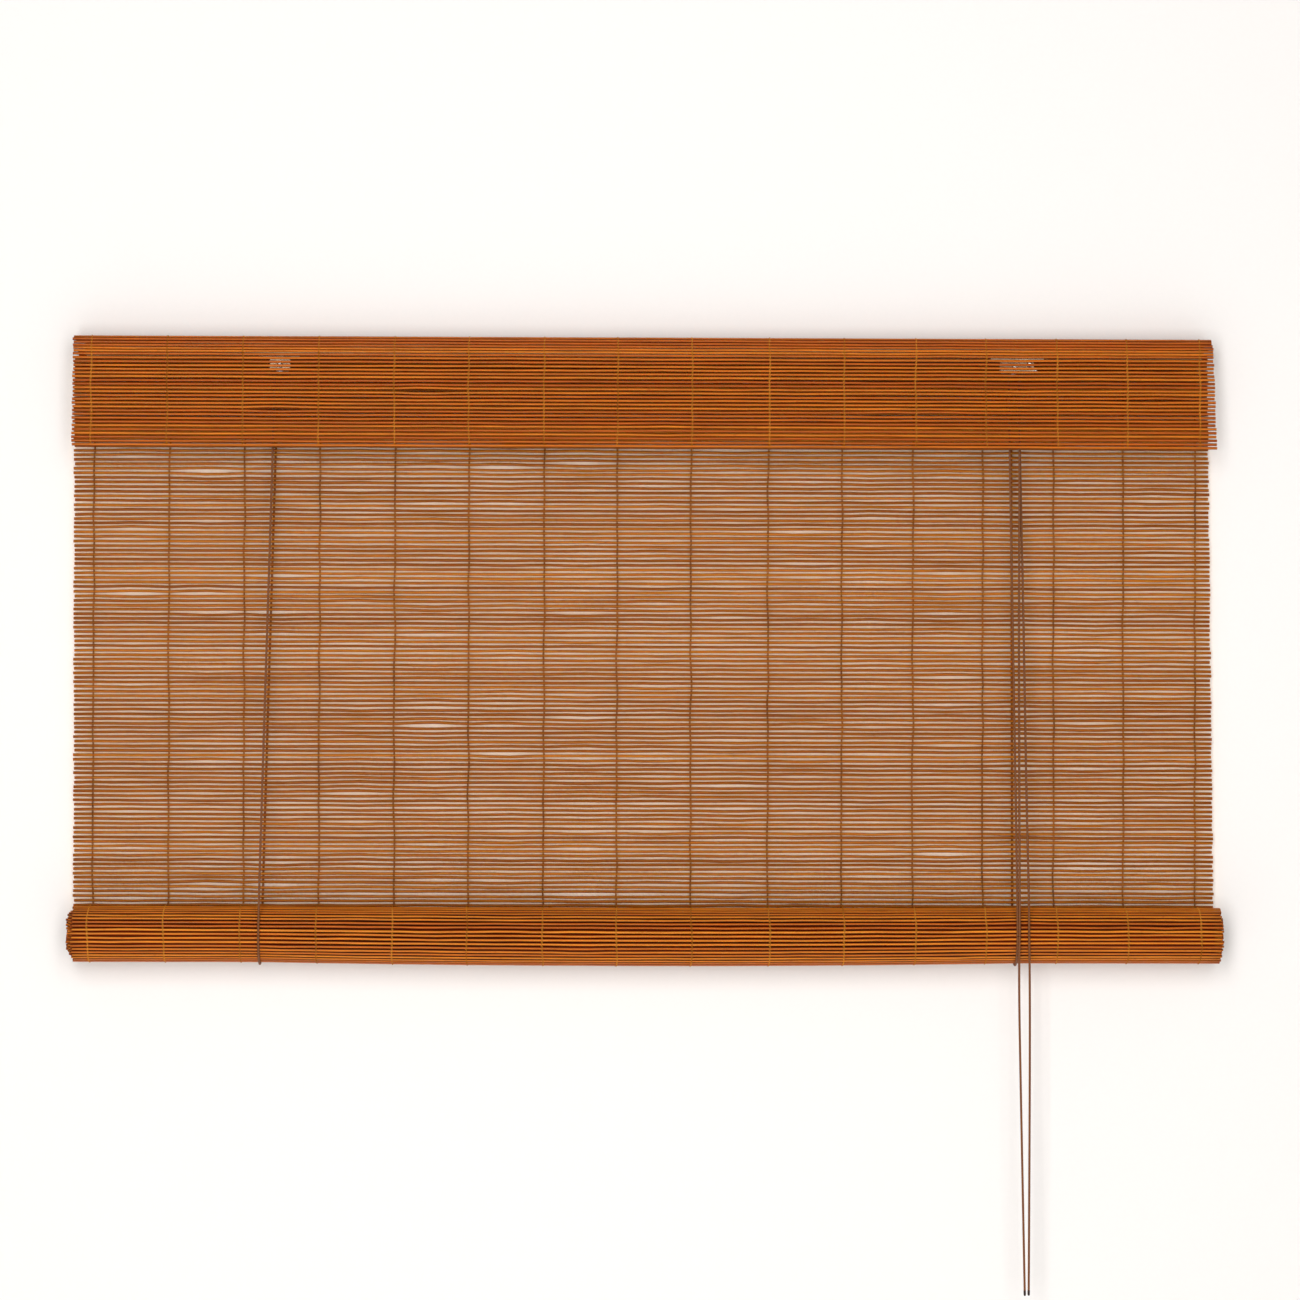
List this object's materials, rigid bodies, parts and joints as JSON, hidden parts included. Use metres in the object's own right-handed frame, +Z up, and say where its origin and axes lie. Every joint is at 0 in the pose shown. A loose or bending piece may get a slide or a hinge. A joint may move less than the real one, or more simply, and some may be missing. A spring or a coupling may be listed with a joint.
{
  "type": "bamboo roll up blind",
  "caption": "Matchstick bamboo roll up blind with a valance flap, let down part way, with a cord lock and two pull cords.",
  "frame": {"origin": "midway between the two hanging holes, in the plane that lies against the wall", "axes": "+X along the blind to the right as seen from the room, +Y into the wall, +Z up"},
  "size_m": [0.9075, 0.0524, 0.7504],
  "materials": {
    "pine": "planed bare wood",
    "bamboo_bright": "stained, satin lacquer",
    "bamboo_drop": "stained, satin lacquer",
    "thread": "twisted cotton",
    "cord": "braided",
    "steel_wire": "bright wire",
    "strap_steel": "zinc plated",
    "screw_steel": "zinc plated",
    "lock_steel": "nickel plated, pressed",
    "wheel_steel": "turned",
    "rivet_steel": "bright"
  },
  "bodies": {
    "headrail": {"head_batten": "pine", "mat_staples": "steel_wire", "cord_staples": "steel_wire", "left_hanging_strap": "strap_steel", "right_hanging_strap": "strap_steel", "hanger_screws": "screw_steel", "valance_sticks": "bamboo_bright", "valance_threads": "thread", "drop_sticks": "bamboo_drop", "drop_threads": "thread", "left_pulley_bracket": "lock_steel", "left_pulley_axle": "rivet_steel", "left_pulley_screws": "screw_steel", "cord_lock_housing": "lock_steel", "cord_lock_axle": "rivet_steel", "cord_lock_washer": "rivet_steel", "cord_lock_dog_pin": "rivet_steel", "cord_lock_screws": "screw_steel", "cross_cord": "cord", "lock_cord_turn": "cord", "left_lift_cord_rear": "cord", "left_lift_cord_front": "cord", "right_lift_cord_rear": "cord", "right_lift_cord_front": "cord", "front_pull_cord_upper": "cord", "rear_pull_cord_upper": "cord"},
    "cord_bights": {"left_cord_bight": "cord", "right_cord_bight": "cord"},
    "roll": {"roll_mat": "bamboo_bright", "bottom_dowel": "pine"},
    "pull_cords": {"front_pull_cord_lower": "cord", "rear_pull_cord_lower": "cord"},
    "left_wheel": {"left_pulley_wheel": "wheel_steel"},
    "front_wheel": {"cord_lock_front_wheel": "wheel_steel"},
    "rear_wheel": {"cord_lock_rear_wheel": "wheel_steel"},
    "lock_dog": {"cord_lock_dog": "wheel_steel"}
  },
  "joints": [
    {"name": "raise", "type": "slide", "parent": "headrail", "child": "cord_bights", "axis": [0, 0, 1], "range_m": [0, 0.28], "deforming": ["drop_sticks", "drop_threads", "left_lift_cord_front", "right_lift_cord_front", "left_lift_cord_rear", "right_lift_cord_rear", "front_pull_cord_upper", "rear_pull_cord_upper"]},
    {"name": "roll_turn", "type": "hinge", "parent": "cord_bights", "child": "roll", "pos_m": [0, -0.0264, -0.46125], "axis": [1, 0, 0], "range_deg": [-728, 0]},
    {"name": "pull_travel", "type": "slide", "parent": "cord_bights", "child": "pull_cords", "axis": [0, 0, 1], "range_m": [-0.85, 0]},
    {"name": "left_wheel_turn", "type": "hinge", "parent": "headrail", "child": "left_wheel", "pos_m": [-0.2879, -0.017, -0.0136], "axis": [0, 1, 0], "range_deg": [0, 7467]},
    {"name": "front_wheel_turn", "type": "hinge", "parent": "headrail", "child": "front_wheel", "pos_m": [0.2912, -0.02241, -0.0136], "axis": [0, 1, 0], "range_deg": [0, 7467]},
    {"name": "rear_wheel_turn", "type": "hinge", "parent": "headrail", "child": "rear_wheel", "pos_m": [0.2912, -0.017, -0.0136], "axis": [0, 1, 0], "range_deg": [0, 7467]},
    {"name": "lock_release", "type": "hinge", "parent": "headrail", "child": "lock_dog", "pos_m": [0.303, -0.01971, -0.0113], "axis": [0, -1, 0], "range_deg": [0, 30]}
  ],
  "couplings": [
    {"joint": "roll_turn", "follows": "raise", "rad_per_m": -45.045},
    {"joint": "pull_travel", "follows": "raise", "ratio": -3},
    {"joint": "left_wheel_turn", "follows": "raise", "rad_per_m": 465.12},
    {"joint": "front_wheel_turn", "follows": "raise", "rad_per_m": 465.12},
    {"joint": "rear_wheel_turn", "follows": "raise", "rad_per_m": 465.12}
  ]
}
